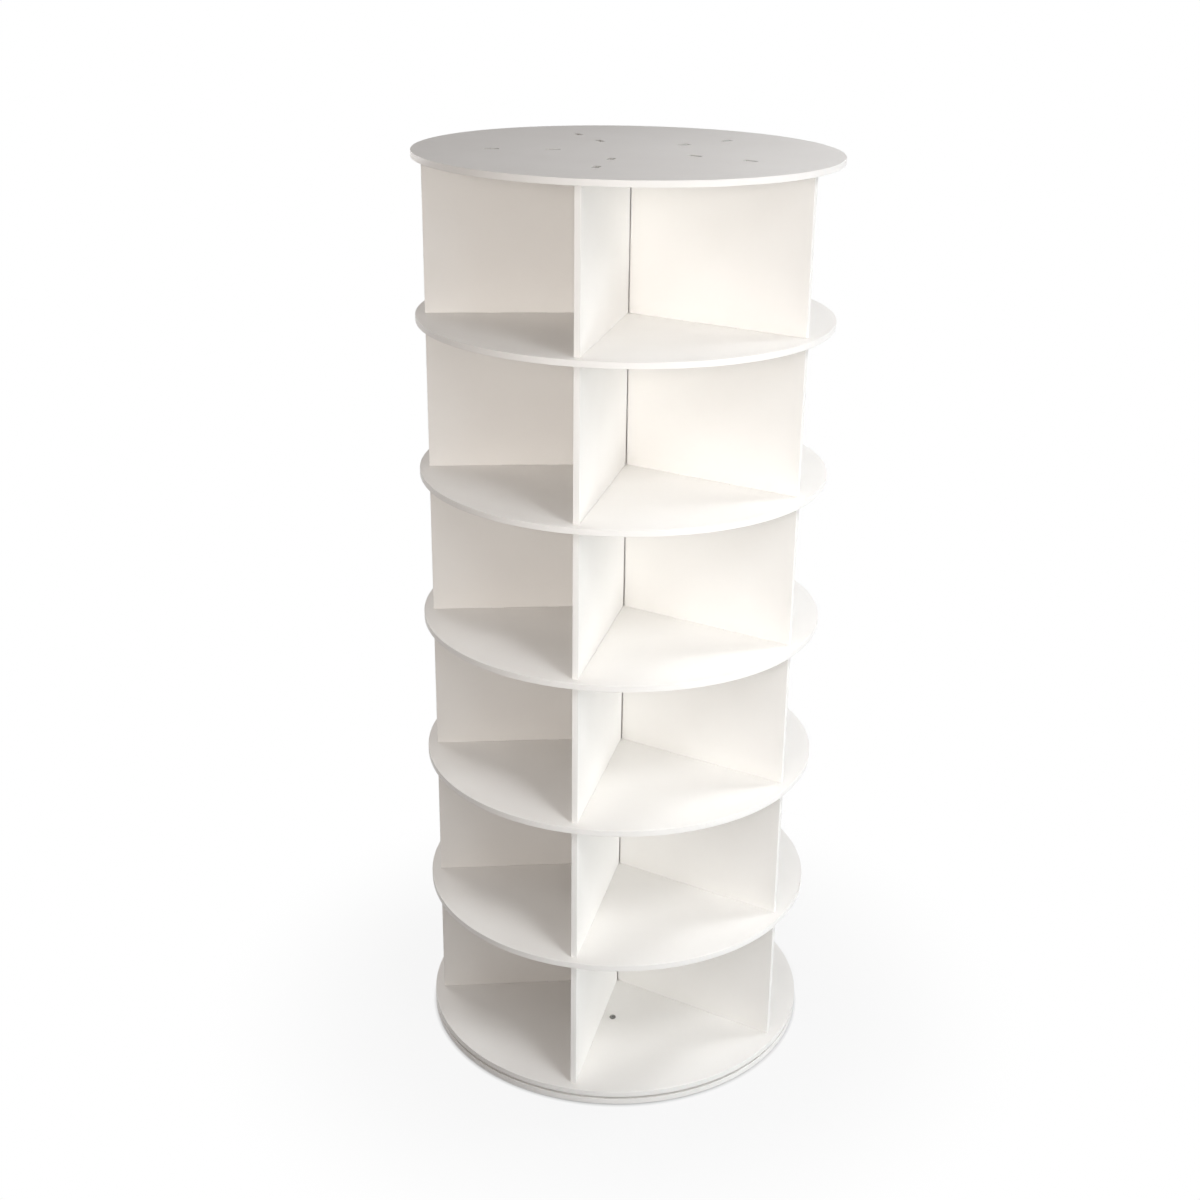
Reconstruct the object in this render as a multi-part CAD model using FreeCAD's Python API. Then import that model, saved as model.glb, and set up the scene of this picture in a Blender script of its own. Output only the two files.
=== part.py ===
import FreeCAD, Part
import math
import os
from FreeCAD import Vector

# Rotating shoe tower: six tiers of five open compartments that turn on a ball-bearing ring.
#
# Millimetres, +Z up. The origin is on the turning axis, on the floor. The first divider of each tier
# points along -Y. Every board is cut from one sheet, and the tiers lock together with tabs in slots.

# Boards
BOARD = 9.0  # thickness of the sheet that every board is cut from
DISC_RADIUS = 300.0
TIERS = 6
TIER_HEIGHT = 217.0  # clear height between two discs
DIVIDERS_PER_TIER = 5
DIVIDER_SETBACK = 14.0  # from the disc's rim to the divider's outer end
CORNER_GAP = 1.5  # between the inner corners of two neighbouring dividers
FIRST_DIVIDER_TURN = -90.0  # degrees from +X

# Tabs on the dividers, and the slots in the discs that hold them
TAB_LENGTH = 19.0
TAB_SPACING = 84.0  # between the two tabs' centres, about the divider's middle
TAB_TIP_GAP = 0.1  # from a tab's tip to the middle of the disc it sits in
SLOT_SIDE_GAP = 0.1  # on each face of the tab
SLOT_END_GAP = 0.5  # at each end of the tab

# Foot of the tower
RIM_GAP = 4.0  # between the base board and the lowest disc
PAD_SIDE = 30.0
PAD_HEIGHT = 2.0
PAD_COUNT = 6
PAD_INSET = 35.0  # from the base board's rim to a pad's centre

# Ball-bearing ring
BALL_RADIUS = 2.0
BALL_COUNT = 20
BALL_PLAY = 0.08  # between a ball and the flanks of its races
RING_THICKNESS = 7.0
RING_STEP = 1.0  # height that each ring stands clear of the other ring's board
RING_SPLIT = 1.8  # radial gap between the two rings
OUTER_RING_MARGIN = 13.0  # from the bolt circle to the outer ring's rim
RACE_INSET = 9.0  # from the bolt circle in to the circle of the balls
INNER_RING_WIDTH = 22.0
POCKET_PLAY = 1.5  # radial gap round the outer ring in the base board's pocket
CAGE_WALL = 0.9
CAGE_HEIGHT = 6.0
CAGE_WINDOW_PLAY = 0.15  # between a ball and its window in the cage

# Bolts that hang the outer ring from the lowest disc
BOLT_COUNT = 4
BOLT_CIRCLE_RADIUS = 112.0
BOLT_TURN = 10.7  # degrees from the first divider to the first bolt
BOLT_RADIUS = 2.5
BOLT_LENGTH = 14.0
BOLT_HEAD_RADIUS = 5.0
BOLT_HEAD_HEIGHT = 2.8
BOLT_HOLE_PLAY = 0.25  # round the bolt in the disc

# Countersunk screws that hold the inner ring down on the base board
SCREW_COUNT = 4
SCREW_TURN = 45.0  # degrees from +X to the first screw
SCREW_RADIUS = 2.0
SCREW_LENGTH = 10.0
SCREW_HEAD_RADIUS = 3.8
SCREW_HOLE_PLAY = 0.15  # round the screw in the ring

THREAD_PLAY = 0.03  # between any thread and the hole it is driven into

# Places that follow from the sizes above
BEARING_HEIGHT = RING_THICKNESS + RING_STEP
POCKET_DEPTH = BEARING_HEIGHT - RIM_GAP
BASE_TOP = PAD_HEIGHT + BOARD
POCKET_FLOOR = BASE_TOP - POCKET_DEPTH
LOWEST_DISC_BOTTOM = BASE_TOP + RIM_GAP
TIER_PITCH = TIER_HEIGHT + BOARD
RACE_RADIUS = BOLT_CIRCLE_RADIUS - RACE_INSET
RACE_HEIGHT = POCKET_FLOOR + BEARING_HEIGHT / 2
OUTER_RING_BOTTOM = LOWEST_DISC_BOTTOM - RING_THICKNESS
OUTER_RING_RIM = BOLT_CIRCLE_RADIUS + OUTER_RING_MARGIN
OUTER_RING_BORE = RACE_RADIUS + RING_SPLIT / 2
INNER_RING_TOP = POCKET_FLOOR + RING_THICKNESS
INNER_RING_RIM = RACE_RADIUS - RING_SPLIT / 2
INNER_RING_BORE = INNER_RING_RIM - INNER_RING_WIDTH
SCREW_CIRCLE_RADIUS = INNER_RING_RIM - INNER_RING_WIDTH / 2
FIRST_BOLT_TURN = FIRST_DIVIDER_TURN + BOLT_TURN

ORIGIN = Vector(0, 0, 0)
UP = Vector(0, 0, 1)


def lifted(shape, height):
    """A copy of a shape, moved up."""
    return shape.translated(UP * height)


def around(shape, count, first_turn):
    """Copies of a shape, spaced evenly about the tower's axis."""
    turns = [first_turn + step * 360.0 / count for step in range(count)]
    return [shape.rotated(ORIGIN, UP, turn) for turn in turns]


def round_pattern(shape, radius, count, first_turn):
    """A shape that stands on the Z axis, repeated round a circle as one group."""
    return Part.makeCompound(around(shape.translated(Vector(radius, 0, 0)), count, first_turn))


def turned(*points):
    """A solid of revolution about the Z axis, from the (radius, height) points of its half section."""
    outline = [Vector(radius, 0, height) for radius, height in points]
    return Part.Face(Part.makePolygon(outline + outline[:1])).revolve(ORIGIN, UP, 360)


def disc(holes):
    """A round board on z = 0, less the holes cut into it."""
    return Part.makeCylinder(DISC_RADIUS, BOARD).cut(holes)


def divider_inner_radius():
    """Where a divider starts, so that its corners clear its neighbours' corners by CORNER_GAP."""
    half_angle = math.radians(180.0 / DIVIDERS_PER_TIER)
    return (BOARD / 2 * math.cos(half_angle) + CORNER_GAP / 2) / math.sin(half_angle)


def divider_reach():
    """Radii of a divider's inner and outer ends."""
    return divider_inner_radius(), DISC_RADIUS - DIVIDER_SETBACK


def tab_centres():
    """Radii of a divider's two tabs, even about its middle."""
    middle = sum(divider_reach()) / 2
    return middle - TAB_SPACING / 2, middle + TAB_SPACING / 2


def slots():
    """Slots through a disc on z = 0, two under each divider. Tabs from above and below share them."""
    length = TAB_LENGTH + 2 * SLOT_END_GAP
    width = BOARD + 2 * SLOT_SIDE_GAP
    slot = Part.makeBox(length, width, BOARD, Vector(-length / 2, -width / 2, 0))
    inner, outer = tab_centres()
    inner_slots = round_pattern(slot, inner, DIVIDERS_PER_TIER, FIRST_DIVIDER_TURN)
    outer_slots = round_pattern(slot, outer, DIVIDERS_PER_TIER, FIRST_DIVIDER_TURN)
    return Part.makeCompound([inner_slots, outer_slots])


def divider():
    """A divider along +X whose lower edge stands on z = 0, with half-depth tabs above and below."""
    inner_end, outer_end = divider_reach()
    tab_depth = BOARD / 2 - TAB_TIP_GAP
    lower_edge, upper_edge = [(inner_end, 0)], [(inner_end, TIER_HEIGHT)]
    for centre in tab_centres():
        start, end = centre - TAB_LENGTH / 2, centre + TAB_LENGTH / 2
        lower_edge += [(start, 0), (start, -tab_depth), (end, -tab_depth), (end, 0)]
        tip = TIER_HEIGHT + tab_depth
        upper_edge += [(start, TIER_HEIGHT), (start, tip), (end, tip), (end, TIER_HEIGHT)]
    lower_edge.append((outer_end, 0))
    upper_edge.append((outer_end, TIER_HEIGHT))
    outline = [Vector(x, -BOARD / 2, z) for x, z in lower_edge + upper_edge[::-1]]
    return Part.Face(Part.makePolygon(outline + outline[:1])).extrude(Vector(0, BOARD, 0))


def lowest_disc():
    """The disc that the outer ring carries: slots for the first tier, and clearance for the bolts."""
    hole = Part.makeCylinder(BOLT_RADIUS + BOLT_HOLE_PLAY, BOARD)
    bolt_holes = round_pattern(hole, BOLT_CIRCLE_RADIUS, BOLT_COUNT, FIRST_BOLT_TURN)
    return lifted(disc(Part.makeCompound([slots(), bolt_holes])), LOWEST_DISC_BOTTOM)


def base_board():
    """The fixed board, with a pocket for the bearing and screw holes in the pocket's floor."""
    pocket = Part.makeCylinder(OUTER_RING_RIM + POCKET_PLAY, POCKET_DEPTH)
    pocket = lifted(pocket, BOARD - POCKET_DEPTH)
    board = lifted(disc(pocket), PAD_HEIGHT)
    hole = Part.makeCylinder(SCREW_RADIUS + THREAD_PLAY, SCREW_LENGTH)
    hole = lifted(hole, INNER_RING_TOP - SCREW_LENGTH)
    return board.cut(round_pattern(hole, SCREW_CIRCLE_RADIUS, SCREW_COUNT, SCREW_TURN))


def countersunk(play, length):
    """A countersunk screw or, with play round it, its hole: flush with z = 0 and pointing down."""
    head, shank = SCREW_HEAD_RADIUS + play, SCREW_RADIUS + play
    return turned((0, 0), (head, 0), (shank, shank - head), (shank, -length), (0, -length))


def race_ring(back_radius, race_side_radius, bottom):
    """A flat ring with a V race for the balls in the side that faces the other ring."""
    flank = (BALL_RADIUS + BALL_PLAY) * math.sqrt(2)
    side = math.copysign(1, race_side_radius - RACE_RADIUS)
    groove_root = RACE_RADIUS + side * flank
    mouth = flank - abs(race_side_radius - RACE_RADIUS)
    top = bottom + RING_THICKNESS
    return turned(
        (back_radius, bottom),
        (race_side_radius, bottom),
        (race_side_radius, RACE_HEIGHT - mouth),
        (groove_root, RACE_HEIGHT),
        (race_side_radius, RACE_HEIGHT + mouth),
        (race_side_radius, top),
        (back_radius, top),
    )


def outer_ring():
    """The turning ring, hung from the lowest disc by bolts in tapped holes."""
    ring = race_ring(OUTER_RING_RIM, OUTER_RING_BORE, OUTER_RING_BOTTOM)
    hole = Part.makeCylinder(BOLT_RADIUS + THREAD_PLAY, RING_THICKNESS)
    hole = lifted(hole, OUTER_RING_BOTTOM)
    return ring.cut(round_pattern(hole, BOLT_CIRCLE_RADIUS, BOLT_COUNT, FIRST_BOLT_TURN))


def inner_ring():
    """The fixed ring, held down on the pocket's floor by screws in countersunk holes."""
    ring = race_ring(INNER_RING_BORE, INNER_RING_RIM, POCKET_FLOOR)
    hole = countersunk(SCREW_HOLE_PLAY, RING_THICKNESS)
    holes = round_pattern(lifted(hole, RING_THICKNESS), SCREW_CIRCLE_RADIUS, SCREW_COUNT, SCREW_TURN)
    return ring.cut(lifted(holes, POCKET_FLOOR))


def bearing_balls():
    """The balls, each drawn with 26 flats that touch the true ball, four of them along its races."""
    side = 2 * BALL_RADIUS
    cube = Part.makeBox(side, side, side, Vector(-side / 2, -side / 2, -side / 2))
    ball = cube.makeChamfer(BALL_RADIUS * (2 - math.sqrt(2)), cube.Edges)
    return round_pattern(lifted(ball, RACE_HEIGHT), RACE_RADIUS, BALL_COUNT, 0.0)


def ball_cage():
    """A thin band between the rings, with a square window for each ball."""
    half_wall, half_height = CAGE_WALL / 2, CAGE_HEIGHT / 2
    inner, outer = RACE_RADIUS - half_wall, RACE_RADIUS + half_wall
    low, high = RACE_HEIGHT - half_height, RACE_HEIGHT + half_height
    band = turned((inner, low), (outer, low), (outer, high), (inner, high))
    side = 2 * (BALL_RADIUS + CAGE_WINDOW_PLAY)
    window = Part.makeBox(2 * CAGE_WALL, side, side, Vector(-CAGE_WALL, -side / 2, -side / 2))
    return band.cut(round_pattern(lifted(window, RACE_HEIGHT), RACE_RADIUS, BALL_COUNT, 0.0))


def bearing_bolts():
    """Pan-head bolts, driven down through the lowest disc into the outer ring."""
    crown = BOLT_HEAD_HEIGHT / 2
    bolt = turned(
        (0, -BOLT_LENGTH),
        (BOLT_RADIUS, -BOLT_LENGTH),
        (BOLT_RADIUS, 0),
        (BOLT_HEAD_RADIUS, 0),
        (BOLT_HEAD_RADIUS, BOLT_HEAD_HEIGHT - crown),
        (BOLT_HEAD_RADIUS - crown, BOLT_HEAD_HEIGHT),
        (0, BOLT_HEAD_HEIGHT),
    )
    bolt = lifted(bolt, LOWEST_DISC_BOTTOM + BOARD)
    return round_pattern(bolt, BOLT_CIRCLE_RADIUS, BOLT_COUNT, FIRST_BOLT_TURN)


def base_screws():
    """Countersunk screws, driven down through the inner ring into the base board."""
    screw = lifted(countersunk(0.0, SCREW_LENGTH), INNER_RING_TOP)
    return round_pattern(screw, SCREW_CIRCLE_RADIUS, SCREW_COUNT, SCREW_TURN)


def floor_pads():
    """Square pads under the base board, near its rim."""
    pad = Part.makeBox(PAD_SIDE, PAD_SIDE, PAD_HEIGHT, Vector(-PAD_SIDE / 2, -PAD_SIDE / 2, 0))
    return round_pattern(pad, DISC_RADIUS - PAD_INSET, PAD_COUNT, 0.0)


def foot_nodes():
    """The fixed foot and the bearing, by name."""
    return {
        "floor_pads": floor_pads(),
        "base_board": base_board(),
        "base_screws": base_screws(),
        "bearing_inner_ring": inner_ring(),
        "bearing_balls": bearing_balls(),
        "bearing_ball_cage": ball_cage(),
        "bearing_outer_ring": outer_ring(),
        "bearing_bolts": bearing_bolts(),
        "disc_0_lowest": lowest_disc(),
    }


def tier_nodes():
    """The dividers of every tier and the disc that lies on them, by name."""
    nodes = {}
    cover, panel = disc(slots()), divider()
    for tier in range(1, TIERS + 1):
        floor = LOWEST_DISC_BOTTOM + (tier - 1) * TIER_PITCH + BOARD
        panels = around(lifted(panel, floor), DIVIDERS_PER_TIER, FIRST_DIVIDER_TURN)
        for place, shape in enumerate(panels, 1):
            nodes[f"tier_{tier}_divider_{place}"] = shape
        use = "top" if tier == TIERS else "shelf"
        nodes[f"disc_{tier}_{use}"] = lifted(cover, floor + TIER_HEIGHT)
    return nodes


os.makedirs("parts", exist_ok=True)
for name, shape in {**foot_nodes(), **tier_nodes()}.items():
    shape.exportStep(f"parts/{name}.step")
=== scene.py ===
import math

import bmesh
import bpy
from mathutils import Matrix, Vector


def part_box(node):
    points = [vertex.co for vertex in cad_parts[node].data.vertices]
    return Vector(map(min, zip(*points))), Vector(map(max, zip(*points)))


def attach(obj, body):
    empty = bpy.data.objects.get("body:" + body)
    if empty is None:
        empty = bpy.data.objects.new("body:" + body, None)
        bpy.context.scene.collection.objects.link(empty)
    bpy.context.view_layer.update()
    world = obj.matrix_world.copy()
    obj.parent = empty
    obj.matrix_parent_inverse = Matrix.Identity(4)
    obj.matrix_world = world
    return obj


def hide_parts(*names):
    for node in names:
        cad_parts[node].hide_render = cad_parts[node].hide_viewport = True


# Looks of the rotating shoe tower. Metres, +Z up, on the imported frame.

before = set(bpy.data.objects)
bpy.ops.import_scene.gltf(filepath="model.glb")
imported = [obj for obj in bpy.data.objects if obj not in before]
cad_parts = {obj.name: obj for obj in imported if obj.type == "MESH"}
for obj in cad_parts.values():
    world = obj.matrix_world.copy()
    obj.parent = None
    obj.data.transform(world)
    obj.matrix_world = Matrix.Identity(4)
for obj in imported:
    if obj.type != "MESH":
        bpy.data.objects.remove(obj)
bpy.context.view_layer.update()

# How many boards, and what the frame calls the discs from the lowest up
TIERS = 6
DIVIDERS_PER_TIER = 5
DISC_NODES = ["disc_0_lowest", *[f"disc_{tier}_shelf" for tier in range(1, TIERS)], f"disc_{TIERS}_top"]

# Sizes read from the frame
DISC_HEIGHTS = [(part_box(node)[0].z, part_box(node)[1].z) for node in DISC_NODES]
BOARD = DISC_HEIGHTS[0][1] - DISC_HEIGHTS[0][0]
DISC_RADIUS = min(abs(side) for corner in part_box("disc_1_shelf") for side in corner.xy)
DIVIDER_LOW, DIVIDER_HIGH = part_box("tier_1_divider_1")
DIVIDER_ENDS = -DIVIDER_HIGH.y, -DIVIDER_LOW.y  # radii of its inner and outer ends
TAB_DEPTH = DISC_HEIGHTS[0][1] - DIVIDER_LOW.z
BASE_LOW, BASE_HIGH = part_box("base_board")
PAD_LOW, PAD_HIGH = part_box("floor_pads")
BALLS_LOW, BALLS_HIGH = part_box("bearing_balls")
SCREWS_LOW, SCREWS_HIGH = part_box("base_screws")
BOLT_TIP_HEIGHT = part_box("bearing_bolts")[0].z

# Sizes as in the part's source
FIRST_DIVIDER_TURN = -90.0  # degrees from +X
TAB_LENGTH = 0.019
TAB_SPACING = 0.084
SLOT_SIDE_GAP = 0.0001
SLOT_END_GAP = 0.0005
POCKET_RADIUS = 0.1265
POCKET_FLOOR = 0.007
BALL_RADIUS = 0.002
BALL_COUNT = 20
RACE_RADIUS = 0.103
BOLT_COUNT = 4
BOLT_CIRCLE = 0.112
BOLT_TURN = FIRST_DIVIDER_TURN + 10.7
BOLT_RADIUS = 0.0025
BOLT_HOLE = 0.00275
BOLT_HEAD = 0.005
BOLT_HEAD_HEIGHT = 0.0028
SCREW_COUNT = 4
SCREW_CIRCLE = 0.0911
SCREW_TURN = 45.0
SCREW_RADIUS = 0.002
SCREW_HOLE = 0.00203
SCREW_HEAD = 0.0038
PAD_SIDE = 0.03
PAD_COUNT = 6
PAD_CIRCLE = 0.265

# Eased arrises, and how finely round shapes are drawn
BOARD_ARRIS = 0.0007
SLOT_ARRIS = 0.0003
SMALL_ARRIS = 0.0002
PAD_ARRIS = SMALL_ARRIS * 1.5
PAD_CORNER = 0.003
PAD_CORNER_SEGMENTS = 5
RIM_SEGMENTS = 192
HOLE_SEGMENTS = 24
BALL_SUBDIVISIONS = 3
SHARP = math.radians(25)  # edges that turn further stay crisp
NEARLY_AT = 0.99  # past this share of a radius, an edge is taken to lie at that radius
SAME_POINT = 1e-7  # points closer than this are joined
SAME_HEIGHT = 1e-6  # heights closer than this are taken as one

# The bolt's tip and pan head, as shares of its radius and of the head's height and radius
BOLT_TIP = 0.8
HEAD_SHOULDER = 0.45
HEAD_CROWN = 0.55
CROWN_REACH = 1.25  # how far the crown comes in, as a share of how far it rises
CROWN_ANGLES = 0, 18, 36, 54, 70
HEAD_FLAT = 0.66
# The screw's tip: radius and height, as shares of the screw's radius
SCREW_TIP = [(0, 0), (0.4, 0.5), (1, 1.5)]

# Cross recesses: half length and half width as shares of the head's radius, and each one's turn in degrees
BOLT_CROSS = 0.56, 0.14
BOLT_CROSS_TURNS = 31, 98, 165, 232
SCREW_CROSS = 0.55, 0.12
SCREW_CROSS_TURNS = 12, 65, 118, 171
CROSS_DEPTH = 0.0015
CROSS_FLOOR = 0.6  # how large the cross is at its floor, as a share of its mouth

# Patterns in the finishes, in waves per metre
BOARD_CLOUD = 7
BOARD_SMUDGE = 26
FILM_PEBBLE = 1400
FILM_WAVE = 45
METAL_CLOUD = 60
MOULDED_CLOUD = 90

FILM_WAVE_DEPTH = 0.00003
LAMINATE_IOR = 1.46
ROUGHNESS_SPAN = 0.3, 0.7  # noise values that give the lowest and the highest roughness
TINT_SPAN = 0.35, 0.65  # noise values that give the darkest and the lightest colour


# Materials

def new_material(name):
    """An empty node material. Returns it with its nodes, its links and its shader."""
    material = bpy.data.materials.new(name)
    material.use_nodes = True
    nodes, links = material.node_tree.nodes, material.node_tree.links
    return material, nodes, links, nodes["Principled BSDF"]


def noise(nodes, links, scale, detail, stretch=(1, 1, 1)):
    """A noise pattern that is fixed to the piece. Scale is in waves per metre."""
    place = nodes.new("ShaderNodeTexCoord")
    mapping = nodes.new("ShaderNodeMapping")
    mapping.inputs["Scale"].default_value = stretch
    pattern = nodes.new("ShaderNodeTexNoise")
    pattern.inputs["Scale"].default_value = scale
    pattern.inputs["Detail"].default_value = detail
    links.new(place.outputs["Object"], mapping.inputs["Vector"])
    links.new(mapping.outputs["Vector"], pattern.inputs["Vector"])
    return pattern.outputs["Fac"]


def spread(nodes, links, value, low, high):
    """A noise value stretched over a range of roughness."""
    scale = nodes.new("ShaderNodeMapRange")
    scale.inputs["From Min"].default_value = ROUGHNESS_SPAN[0]
    scale.inputs["From Max"].default_value = ROUGHNESS_SPAN[1]
    scale.inputs["To Min"].default_value = low
    scale.inputs["To Max"].default_value = high
    links.new(value, scale.inputs["Value"])
    return scale.outputs["Result"]


def colour_ramp(nodes, links, value, stops, blend="LINEAR"):
    """A value turned into a colour by two or more rising (position, colour) stops."""
    ramp = nodes.new("ShaderNodeValToRGB")
    ramp.color_ramp.interpolation = blend
    elements = ramp.color_ramp.elements
    while len(elements) < len(stops):
        elements.new(0.5)  # moved to its own position below
    for stop, (position, colour) in zip(elements, stops):
        stop.position = position
        stop.color = (*colour, 1)
    links.new(value, ramp.inputs["Fac"])
    return ramp.outputs["Color"]


def tint(nodes, links, value, dark, light):
    """A noise value turned into a colour between two."""
    return colour_ramp(nodes, links, value, list(zip(TINT_SPAN, (dark, light))))


def relief(nodes, links, shader, *layers):
    """Fine relief from (pattern, depth in metres) layers, each laid on the one before."""
    under = None
    for pattern, depth in layers:
        bump = nodes.new("ShaderNodeBump")
        bump.inputs["Distance"].default_value = depth
        links.new(pattern, bump.inputs["Height"])
        if under:
            links.new(under, bump.inputs["Normal"])
        under = bump.outputs["Normal"]
    links.new(under, shader.inputs["Normal"])


def laminate(name, dark, light, satin, grain_depth):
    """White laminate: a faint cloud in the white, and the fine pebbled grain of the pressed film."""
    material, nodes, links, shader = new_material(name)
    cloud = noise(nodes, links, BOARD_CLOUD, detail=3)
    smudge = noise(nodes, links, BOARD_SMUDGE, detail=4)
    pebble = noise(nodes, links, FILM_PEBBLE, detail=2)
    wave = noise(nodes, links, FILM_WAVE, detail=1)
    links.new(tint(nodes, links, cloud, dark, light), shader.inputs["Base Color"])
    links.new(spread(nodes, links, smudge, *satin), shader.inputs["Roughness"])
    relief(nodes, links, shader, (wave, FILM_WAVE_DEPTH), (pebble, grain_depth))
    shader.inputs["IOR"].default_value = LAMINATE_IOR
    return material


def metal(name, dark, light, polish, stretch, grain_scale, grain_depth):
    """Bare or plated metal with the fine marks of its working."""
    material, nodes, links, shader = new_material(name)
    marks = noise(nodes, links, grain_scale, detail=3, stretch=stretch)
    cloud = noise(nodes, links, METAL_CLOUD, detail=2)
    links.new(tint(nodes, links, cloud, dark, light), shader.inputs["Base Color"])
    links.new(spread(nodes, links, marks, *polish), shader.inputs["Roughness"])
    relief(nodes, links, shader, (marks, grain_depth))
    shader.inputs["Metallic"].default_value = 1.0
    return material


def moulded(name, dark, light, satin, grain_scale, grain_depth):
    """Moulded plastic, foam or pressed board."""
    material, nodes, links, shader = new_material(name)
    grain = noise(nodes, links, grain_scale, detail=3)
    cloud = noise(nodes, links, MOULDED_CLOUD, detail=2)
    links.new(tint(nodes, links, cloud, dark, light), shader.inputs["Base Color"])
    links.new(spread(nodes, links, grain, *satin), shader.inputs["Roughness"])
    relief(nodes, links, shader, (grain, grain_depth))
    return material


BOARD_FACE = laminate(
    "white_laminate", dark=(0.858, 0.84, 0.815), light=(0.88, 0.864, 0.84),
    satin=(0.58, 0.68), grain_depth=0.00002,
)
# The edge band is a shade darker than the laminate faces: partly its own finish, partly painted shade for the
# light the edges miss.
EDGE_BAND_AND_PAINTED_SHADE = laminate(
    "white_edge_band_painted_shade", dark=(0.775, 0.758, 0.737), light=(0.8, 0.783, 0.763),
    satin=(0.45, 0.55), grain_depth=0.00001,
)
# The slot walls are a darker grey than the laminate: partly the bare core, partly painted shade inside the
# slots.
CORE_AND_PAINTED_SHADE = moulded(
    "board_core_painted_shade", dark=(0.56, 0.545, 0.52), light=(0.62, 0.605, 0.58),
    satin=(0.7, 0.85), grain_scale=2500, grain_depth=0.00006,
)
RING_ALUMINIUM = metal(
    "turned_aluminium", dark=(0.66, 0.66, 0.66), light=(0.74, 0.74, 0.73),
    polish=(0.28, 0.42), stretch=(1, 1, 9), grain_scale=900, grain_depth=0.00001,
)
BALL_STEEL = metal(
    "polished_steel", dark=(0.72, 0.72, 0.74), light=(0.8, 0.8, 0.82),
    polish=(0.08, 0.16), stretch=(1, 1, 1), grain_scale=500, grain_depth=0.000001,
)
ZINC_STEEL = metal(
    "zinc_plated_steel", dark=(0.25, 0.245, 0.235), light=(0.36, 0.35, 0.335),
    polish=(0.12, 0.2), stretch=(1, 1, 1), grain_scale=1500, grain_depth=0.00001,
)
CAGE_PLASTIC = moulded(
    "natural_nylon", dark=(0.8, 0.79, 0.74), light=(0.86, 0.85, 0.81),
    satin=(0.4, 0.55), grain_scale=1500, grain_depth=0.00001,
)
PAD_FOAM = moulded(
    "closed_cell_foam", dark=(0.1, 0.1, 0.1), light=(0.14, 0.14, 0.14),
    satin=(0.75, 0.95), grain_scale=1800, grain_depth=0.0001,
)


# Mesh tools

def loop_through(bm, points):
    """A closed loop of edges through (x, y) points on z = 0."""
    corners = [bm.verts.new((x, y, 0.0)) for x, y in points]
    return [bm.edges.new(pair) for pair in zip(corners, corners[1:] + corners[:1])]


def circle(bm, radius, segments, centre=(0.0, 0.0)):
    """A circle of edges on z = 0."""
    place = Matrix.Translation((*centre, 0.0))
    made = bmesh.ops.create_circle(bm, cap_ends=False, radius=radius, segments=segments, matrix=place)
    return list({edge for vert in made["verts"] for edge in vert.link_edges})


def fill(bm, *loops):
    """Flat faces inside the first loop and outside the others."""
    edges = [edge for loop in loops for edge in loop]
    made = bmesh.ops.triangle_fill(bm, use_beauty=True, use_dissolve=True, edges=edges, normal=(0, 0, 1))
    return [item for item in made["geom"] if isinstance(item, bmesh.types.BMFace)]


def raise_faces(bm, faces, height, part_of_a_solid=False):
    """Pulls flat faces up into a solid, or up or down on one, and returns the faces that moved."""
    made = bmesh.ops.extrude_face_region(bm, geom=faces)["geom"]
    moved = [item for item in made if isinstance(item, bmesh.types.BMVert)]
    bmesh.ops.translate(bm, vec=(0, 0, height), verts=moved)
    if part_of_a_solid:
        bmesh.ops.delete(bm, geom=faces, context="FACES")
    return [item for item in made if isinstance(item, bmesh.types.BMFace)]


def ease(bm, width, chosen=lambda edge: True, segments=2):
    """Rounds the outer arrises that are chosen."""
    outer = [edge for edge in bm.edges if edge.is_manifold and edge.is_convex]
    arrises = [edge for edge in outer if edge.calc_face_angle() > SHARP and chosen(edge)]
    bmesh.ops.bevel(
        bm, geom=arrises, affect="EDGES", offset=width, segments=segments, profile=0.5, material=-1
    )


def on_polar(radius, turn):
    """(x, y) of a point at a radius and a turn in degrees from +X."""
    return radius * math.cos(math.radians(turn)), radius * math.sin(math.radians(turn))


def turns(count, first):
    """Turns of evenly spaced copies, in degrees."""
    return [first + step * 360.0 / count for step in range(count)]


def finish_piece(name, bm, body, slot, nodes, *materials):
    """Makes the shaped mesh a piece that rides on a body and stands for CAD nodes."""
    bmesh.ops.recalc_face_normals(bm, faces=bm.faces)
    mesh = bpy.data.meshes.new(name)
    bm.to_mesh(mesh)
    bm.free()
    mesh.shade_smooth()
    mesh.set_sharp_from_angle(angle=SHARP)
    for material in materials:
        mesh.materials.append(material)
    piece = bpy.data.objects.new(name, mesh)
    bpy.context.scene.collection.objects.link(piece)
    piece.modifiers.new("flat_faces_stay_flat", "WEIGHTED_NORMAL").keep_sharp = True
    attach(piece, body)
    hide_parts(*nodes)


# Boards

def tab_centres():
    """Radii of a divider's two tabs."""
    middle = sum(DIVIDER_ENDS) / 2
    return middle - TAB_SPACING / 2, middle + TAB_SPACING / 2


def slot_outline(radius, turn):
    """Corners of the slot for one tab."""
    half_length = TAB_LENGTH / 2 + SLOT_END_GAP
    half_width = BOARD / 2 + SLOT_SIDE_GAP
    corners = [(-1, -1), (1, -1), (1, 1), (-1, 1)]
    swing = Matrix.Rotation(math.radians(turn), 2)
    return [swing @ Vector((radius + x * half_length, y * half_width)) for x, y in corners]


def mark_edges(bm, core_within=0.0):
    """Gives every face that isn't level the edge band, which carries some painted shade, or inside a radius
    the bare core, darkened further as painted shade in the slots.
    """
    for face in bm.faces:
        if abs(face.normal.z) < math.cos(SHARP):
            face.material_index = 2 if face.calc_center_median().xy.length < core_within else 1


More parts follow.
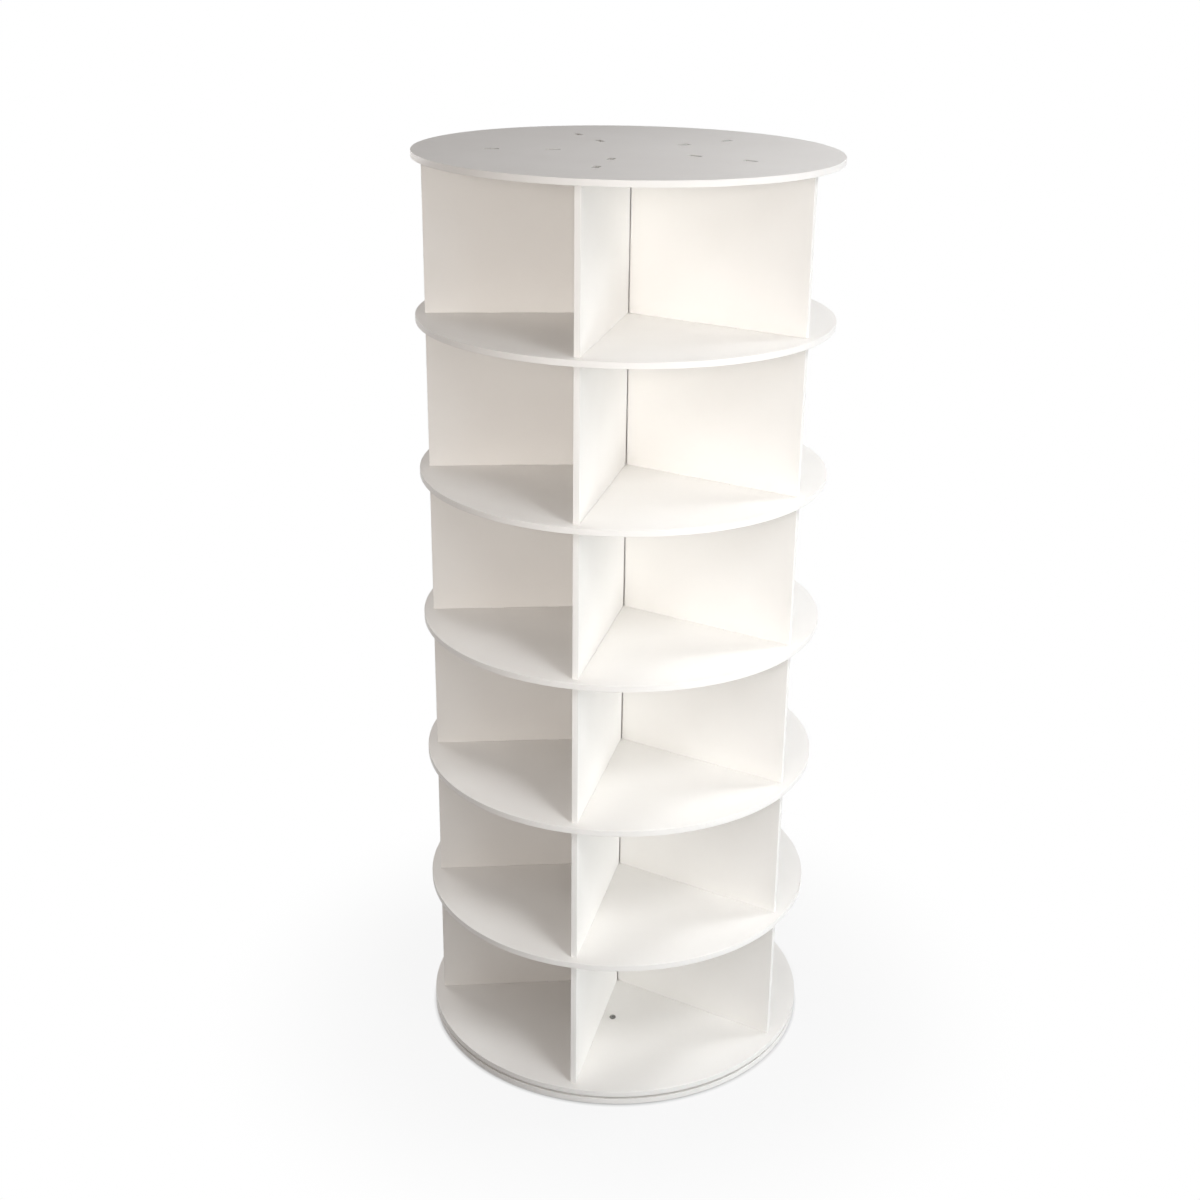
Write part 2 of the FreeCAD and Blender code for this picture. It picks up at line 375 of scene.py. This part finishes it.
def slotted_disc(name, node, bottom, holes=()):
    """A round board with eased rims and, on each divider's ray, two slots for its tabs."""
    bm = bmesh.new()
    rim = circle(bm, DISC_RADIUS, RIM_SEGMENTS)
    slots = [
        loop_through(bm, slot_outline(radius, turn))
        for turn in turns(DIVIDERS_PER_TIER, FIRST_DIVIDER_TURN)
        for radius in tab_centres()
    ]
    bores = [circle(bm, radius, HOLE_SEGMENTS, centre) for radius, centre in holes]
    raise_faces(bm, fill(bm, rim, *slots, *bores), BOARD)
    bmesh.ops.recalc_face_normals(bm, faces=bm.faces)
    near_rim = DISC_RADIUS * NEARLY_AT
    ease(bm, BOARD_ARRIS, lambda edge: edge.verts[0].co.xy.length > near_rim)
    ease(bm, SLOT_ARRIS, lambda edge: edge.verts[0].co.xy.length < near_rim - BOARD_ARRIS, segments=1)
    mark_edges(bm, near_rim)
    bmesh.ops.translate(bm, vec=(0, 0, bottom), verts=bm.verts)
    finish_piece(name, bm, "tower", "white_board", [node], BOARD_FACE, EDGE_BAND_AND_PAINTED_SHADE, CORE_AND_PAINTED_SHADE)


def divider_outline():
    """(radius, height) corners of a divider, with two tabs above and two below."""
    inner, outer = DIVIDER_ENDS
    height = DISC_HEIGHTS[1][0] - DISC_HEIGHTS[0][1]
    tip = height + TAB_DEPTH
    below, above = [(inner, 0)], [(inner, height)]
    for centre in tab_centres():
        start, end = centre - TAB_LENGTH / 2, centre + TAB_LENGTH / 2
        below += [(start, 0), (start, -TAB_DEPTH), (end, -TAB_DEPTH), (end, 0)]
        above += [(start, height), (start, tip), (end, tip), (end, height)]
    below.append((outer, 0))
    above.append((outer, height))
    return below + above[::-1]


def divider_board(tier, place):
    """An upright board between two discs."""
    bm = bmesh.new()
    raise_faces(bm, fill(bm, loop_through(bm, divider_outline())), BOARD)
    bmesh.ops.recalc_face_normals(bm, faces=bm.faces)
    ease(bm, BOARD_ARRIS)
    mark_edges(bm)
    bmesh.ops.translate(bm, vec=(0, 0, -BOARD / 2), verts=bm.verts)
    bmesh.ops.rotate(bm, matrix=Matrix.Rotation(math.radians(90), 3, "X"), verts=bm.verts)
    turn = math.radians(turns(DIVIDERS_PER_TIER, FIRST_DIVIDER_TURN)[place - 1])
    bmesh.ops.rotate(bm, matrix=Matrix.Rotation(turn, 3, "Z"), verts=bm.verts)
    bmesh.ops.translate(bm, vec=(0, 0, DISC_HEIGHTS[tier - 1][1]), verts=bm.verts)
    node = f"tier_{tier}_divider_{place}"
    finish_piece(f"divider_{tier}_{place}", bm, "tower", "white_board", [node], BOARD_FACE, EDGE_BAND_AND_PAINTED_SHADE)


def base_disc():
    """The fixed board, with the bearing's pocket in its upper face."""
    bm = bmesh.new()
    rim = circle(bm, DISC_RADIUS, RIM_SEGMENTS)
    pocket = circle(bm, POCKET_RADIUS, RIM_SEGMENTS)
    holes = [
        circle(bm, SCREW_HOLE, HOLE_SEGMENTS, on_polar(SCREW_CIRCLE, turn))
        for turn in turns(SCREW_COUNT, SCREW_TURN)
    ]
    land = fill(bm, rim, pocket)
    floor = fill(bm, pocket, *holes)
    lifted = raise_faces(bm, land + floor, POCKET_FLOOR - BASE_LOW.z)
    near_rim = DISC_RADIUS * NEARLY_AT
    land = [face for face in lifted if max(vert.co.xy.length for vert in face.verts) > near_rim]
    raise_faces(bm, land, BASE_HIGH.z - POCKET_FLOOR, part_of_a_solid=True)
    bmesh.ops.recalc_face_normals(bm, faces=bm.faces)
    ease(bm, BOARD_ARRIS, lambda edge: edge.verts[0].co.xy.length > POCKET_RADIUS * NEARLY_AT)
    mark_edges(bm)
    bmesh.ops.translate(bm, vec=(0, 0, BASE_LOW.z), verts=bm.verts)
    finish_piece("base_disc", bm, "base", "white_board", ["base_board"], BOARD_FACE, EDGE_BAND_AND_PAINTED_SHADE)


def build_boards():
    """The base board, the seven discs and the thirty dividers."""
    base_disc()
    bolt_holes = [(BOLT_HOLE, on_polar(BOLT_CIRCLE, turn)) for turn in turns(BOLT_COUNT, BOLT_TURN)]
    slotted_disc("lowest_disc", DISC_NODES[0], DISC_HEIGHTS[0][0], bolt_holes)
    for tier in range(1, TIERS):
        slotted_disc(f"shelf_disc_{tier}", DISC_NODES[tier], DISC_HEIGHTS[tier][0])
    slotted_disc("top_disc", DISC_NODES[TIERS], DISC_HEIGHTS[TIERS][0])
    for tier in range(1, TIERS + 1):
        for place in range(1, DIVIDERS_PER_TIER + 1):
            divider_board(tier, place)


# Bearing, fasteners and pads

def cross_recess(bm, rim, half_length, half_width):
    """Closes the top of a head inside its rim, with a cross sunk into it."""
    arm = [(half_width, half_width), (half_width, half_length), (-half_width, half_length)]
    quarters = [Matrix.Rotation(math.radians(90 * step), 2) for step in range(4)]
    cross = loop_through(bm, [quarter @ Vector(point) for quarter in quarters for point in arm])
    mouth = list({vert for edge in cross for vert in edge.verts})
    bmesh.ops.translate(bm, vec=(0, 0, rim[0].verts[0].co.z), verts=mouth)
    fill(bm, rim, cross)
    floor = raise_faces(bm, fill(bm, cross), -CROSS_DEPTH, part_of_a_solid=True)
    sunk = list({vert for face in floor for vert in face.verts})
    bmesh.ops.scale(bm, vec=(CROSS_FLOOR, CROSS_FLOOR, 1), verts=sunk)


def add_fastener(bm, profile, cross, seat, turn):
    """A fastener spun from (radius, height) points, tip first, and put at its seat."""
    part = bmesh.new()
    points = [part.verts.new((radius, 0, height)) for radius, height in profile]
    edges = [part.edges.new(pair) for pair in zip(points, points[1:])]
    bmesh.ops.spin(
        part, geom=points + edges, cent=(0, 0, 0), axis=(0, 0, 1), angle=math.tau,
        steps=HOLE_SEGMENTS, use_merge=True, use_normal_flip=False, use_duplicate=False,
    )
    bmesh.ops.remove_doubles(part, verts=part.verts, dist=SAME_POINT)
    top = max(vert.co.z for vert in part.verts) - SAME_HEIGHT
    rim = [edge for edge in part.edges if edge.is_boundary and min(vert.co.z for vert in edge.verts) > top]
    cross_recess(part, rim, *cross)
    bmesh.ops.recalc_face_normals(part, faces=part.faces)
    bmesh.ops.rotate(part, matrix=Matrix.Rotation(math.radians(turn), 3, "Z"), verts=part.verts)
    bmesh.ops.translate(part, vec=seat, verts=part.verts)
    mesh = bpy.data.meshes.new("fastener")
    part.to_mesh(mesh)
    part.free()
    bm.from_mesh(mesh)
    bpy.data.meshes.remove(mesh)


def fastener_set(name, body, node, profile, cross, seats, cross_turns):
    """Fasteners of one kind, which are one piece."""
    bm = bmesh.new()
    for seat, turn in zip(seats, cross_turns):
        add_fastener(bm, profile, cross, seat, turn)
    finish_piece(name, bm, body, "zinc_steel", [node], ZINC_STEEL)


def bolt_profile():
    """A pan-head machine bolt, from its tip up. Height 0 is under the head."""
    length = DISC_HEIGHTS[0][1] - BOLT_TIP_HEIGHT
    tip = BOLT_RADIUS * BOLT_TIP
    profile = [(0, -length), (tip, -length), (BOLT_RADIUS, -length + BOLT_RADIUS - tip), (BOLT_RADIUS, 0)]
    profile += [(BOLT_HEAD - SMALL_ARRIS, 0), (BOLT_HEAD, SMALL_ARRIS)]
    shoulder, crown = BOLT_HEAD_HEIGHT * HEAD_SHOULDER, BOLT_HEAD_HEIGHT * HEAD_CROWN
    for angle in CROWN_ANGLES:
        turn = math.radians(angle)
        inward = crown * CROWN_REACH * (1 - math.cos(turn))
        profile.append((BOLT_HEAD - inward, shoulder + crown * math.sin(turn)))
    profile.append((BOLT_HEAD * HEAD_FLAT, BOLT_HEAD_HEIGHT))
    return profile


def screw_profile():
    """A countersunk screw, from its tip up. Height 0 is the face it is flush with."""
    length = SCREWS_HIGH.z - SCREWS_LOW.z
    neck = SCREW_HEAD - SCREW_RADIUS
    profile = [(SCREW_RADIUS * radius, -length + SCREW_RADIUS * height) for radius, height in SCREW_TIP]
    profile += [(SCREW_RADIUS, -neck), (SCREW_HEAD, -SMALL_ARRIS)]
    profile += [(SCREW_HEAD, 0), (SCREW_HEAD - SMALL_ARRIS, 0)]
    return profile


def build_fasteners():
    """The bolts that show in the lowest tier, and the screws under them in the bearing."""
    bolt_seats = [(*on_polar(BOLT_CIRCLE, turn), DISC_HEIGHTS[0][1]) for turn in turns(BOLT_COUNT, BOLT_TURN)]
    bolt_cross = [BOLT_HEAD * share for share in BOLT_CROSS]
    fastener_set(
        "ring_bolts", "tower", "bearing_bolts", bolt_profile(), bolt_cross, bolt_seats, BOLT_CROSS_TURNS
    )
    screw_seats = [(*on_polar(SCREW_CIRCLE, turn), SCREWS_HIGH.z) for turn in turns(SCREW_COUNT, SCREW_TURN)]
    screw_cross = [SCREW_HEAD * share for share in SCREW_CROSS]
    fastener_set(
        "ring_screws", "base", "base_screws", screw_profile(), screw_cross, screw_seats, SCREW_CROSS_TURNS
    )


def balls():
    """Round balls, where the frame has them with flats."""
    bm = bmesh.new()
    height = (BALLS_LOW.z + BALLS_HIGH.z) / 2
    for turn in turns(BALL_COUNT, 0.0):
        place = Matrix.Translation((*on_polar(RACE_RADIUS, turn), height))
        bmesh.ops.create_icosphere(bm, subdivisions=BALL_SUBDIVISIONS, radius=BALL_RADIUS, matrix=place)
    finish_piece("race_balls", bm, "ball_ring", "ball_steel", ["bearing_balls"], BALL_STEEL)


def pads():
    """Square foam pads with rounded corners, under the base board."""
    bm = bmesh.new()
    height = PAD_HIGH.z - PAD_LOW.z
    for turn in turns(PAD_COUNT, 0.0):
        swing = Matrix.Rotation(math.radians(turn), 4, "Z")
        place = swing @ Matrix.Translation((PAD_CIRCLE, 0, PAD_LOW.z + height / 2))
        size = Matrix.Diagonal((PAD_SIDE, PAD_SIDE, height, 1))
        bmesh.ops.create_cube(bm, size=1, matrix=place @ size)
    corners = [edge for edge in bm.edges if abs(edge.verts[0].co.z - edge.verts[1].co.z) > height / 2]
    bmesh.ops.bevel(
        bm, geom=corners, affect="EDGES", offset=PAD_CORNER, segments=PAD_CORNER_SEGMENTS, profile=0.5,
        material=-1,
    )
    ease(bm, PAD_ARRIS)
    finish_piece("foam_pads", bm, "base", "pad_foam", ["floor_pads"], PAD_FOAM)


def refinish(node, material):
    """Gives a CAD node that stays its finish."""
    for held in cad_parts[node].material_slots:
        held.material = material


# Studio

CAMERA_PLACE = (0.5172, -2.3231, 1.6670)
CAMERA_TURN = (68.080, -1.090, 12.312)  # degrees about X, Y and Z
CAMERA_LENS = 50.25  # millimetres, on a 36 mm sensor
CAMERA_SHIFT = -0.0333

# Lamps: place, the point they face, side of the square, watts, spread in degrees and colour
LAMPS = {
    "key": ((2.145, -1.80, 1.70), (0, 0, 0.7), 1.2, 14.2, 180.0, (0.9, 0.965, 1.0)),
    "low_key": ((2.43, -1.40, 0.45), (0, 0, 0.3), 0.8, 8.4, 100.0, (0.92, 0.975, 1.0)),
    "fill": ((0.225, -2.59, 1.5), (0, 0, 1.2), 0.8, 3.3, 65.0, (1.0, 0.95, 0.9)),
    "rear": ((-2.2, 1.4, 1.6), (0, 0, 0.7), 1.2, 24.0, 180.0, (1.0, 0.985, 0.97)),
    "slant_front": ((0.0, -1.75, 2.2), (0, -0.25, 0.3), 0.6, 0.5, 50.0, (1.0, 0.985, 0.965)),
    "slant_right": ((1.15, -1.25, 2.2), (0.1, -0.15, 0.4), 0.6, 1.33, 50.0, (0.97, 0.985, 1.0)),
    "slant_rear": ((1.5, 0.75, 2.3), (0.1, 0.1, 0.5), 0.6, 2.2, 50.0, (0.95, 0.975, 1.0)),
    "top": ((0.92, -0.25, 1.95), (0.1, 0, 1.38), 0.3, 0.4, 70.0, (0.97, 0.98, 1.0)),
}
# Light from all round: height on the unit sphere, and colour
SKY = [(0.0, (0.325, 0.285, 0.258)), (0.5, (0.425, 0.387, 0.363)), (0.9, (0.06, 0.065, 0.075))]

FLOOR_RADIUS = 8.0
FLOOR_SEGMENTS = 96
FLOOR_GREY = 0.4
FLOOR_ROUGHNESS = 0.9
# How much of the floor is plain white: radius from the axis, and share
FLOOR_WHITE = [(0.297, 0.3), (0.304, 0.9), (0.7, 1.0)]


def camera():
    """A camera in front of the tower, a little to its right and above its top."""
    data = bpy.data.cameras.new("camera")
    data.lens = CAMERA_LENS
    data.shift_x = CAMERA_SHIFT
    view = bpy.data.objects.new("camera", data)
    view.location = CAMERA_PLACE
    view.rotation_euler = [math.radians(turn) for turn in CAMERA_TURN]
    bpy.context.scene.collection.objects.link(view)
    bpy.context.scene.camera = view


def lamp(name, place, target, side, power, beam, colour):
    """A square soft lamp that faces a point."""
    data = bpy.data.lights.new(name, "AREA")
    data.shape = "SQUARE"
    data.size = side
    data.energy = power
    data.spread = math.radians(beam)
    data.color = colour
    lit = bpy.data.objects.new(name, data)
    lit.location = place
    lit.rotation_euler = (Vector(target) - lit.location).to_track_quat("-Z", "Y").to_euler()
    bpy.context.scene.collection.objects.link(lit)


def seen_directly(nodes, links):
    """1 for camera, mirror and see-through rays, and 0 for rays that carry light."""
    path = nodes.new("ShaderNodeLightPath")
    total = path.outputs["Is Camera Ray"]
    for kind in ("Is Glossy Ray", "Is Transmission Ray"):
        joined = nodes.new("ShaderNodeMath")
        joined.operation = "MAXIMUM"
        links.new(total, joined.inputs[0])
        links.new(path.outputs[kind], joined.inputs[1])
        total = joined.outputs[0]
    return total


def surroundings():
    """Light from all round, weakest overhead. Seen directly, it is plain white."""
    world = bpy.data.worlds.new("studio")
    world.use_nodes = True
    bpy.context.scene.world = world
    nodes, links = world.node_tree.nodes, world.node_tree.links
    place = nodes.new("ShaderNodeTexCoord")
    split = nodes.new("ShaderNodeSeparateXYZ")
    links.new(place.outputs["Generated"], split.inputs["Vector"])
    light = nodes["Background"]
    links.new(colour_ramp(nodes, links, split.outputs["Z"], SKY), light.inputs["Color"])
    white = nodes.new("ShaderNodeBackground")
    white.inputs["Color"].default_value = (1, 1, 1, 1)
    mix = nodes.new("ShaderNodeMixShader")
    links.new(seen_directly(nodes, links), mix.inputs["Fac"])
    links.new(light.outputs["Background"], mix.inputs[1])
    links.new(white.outputs["Background"], mix.inputs[2])
    links.new(mix.outputs["Shader"], nodes["World Output"].inputs["Surface"])


def floor():
    """A round pale floor that fades into the white surroundings away from the tower."""
    bm = bmesh.new()
    bmesh.ops.create_circle(bm, cap_ends=True, radius=FLOOR_RADIUS, segments=FLOOR_SEGMENTS)
    mesh = bpy.data.meshes.new("floor")
    bm.to_mesh(mesh)
    bm.free()
    ground = bpy.data.objects.new("floor", mesh)
    bpy.context.scene.collection.objects.link(ground)
    material, nodes, links, shader = new_material("studio_floor")
    mesh.materials.append(material)
    shader.inputs["Base Color"].default_value = (FLOOR_GREY, FLOOR_GREY, FLOOR_GREY, 1)
    shader.inputs["Roughness"].default_value = FLOOR_ROUGHNESS
    place = nodes.new("ShaderNodeTexCoord")
    reach = nodes.new("ShaderNodeVectorMath")
    reach.operation = "LENGTH"
    links.new(place.outputs["Object"], reach.inputs[0])
    stops = [(radius, (share, share, share)) for radius, share in FLOOR_WHITE]
    whiteness = nodes.new("ShaderNodeMath")
    whiteness.operation = "MULTIPLY"
    links.new(colour_ramp(nodes, links, reach.outputs["Value"], stops, "EASE"), whiteness.inputs[0])
    links.new(seen_directly(nodes, links), whiteness.inputs[1])
    white = nodes.new("ShaderNodeEmission")
    mix = nodes.new("ShaderNodeMixShader")
    links.new(whiteness.outputs[0], mix.inputs["Fac"])
    links.new(shader.outputs["BSDF"], mix.inputs[1])
    links.new(white.outputs["Emission"], mix.inputs[2])
    links.new(mix.outputs["Shader"], nodes["Material Output"].inputs["Surface"])


build_boards()
build_fasteners()
balls()
pads()
refinish("bearing_outer_ring", RING_ALUMINIUM)
refinish("bearing_inner_ring", RING_ALUMINIUM)
refinish("bearing_ball_cage", CAGE_PLASTIC)
camera()
for name, settings in LAMPS.items():
    lamp(name, *settings)
surroundings()
floor()
bpy.context.scene.view_settings.view_transform = "Standard"
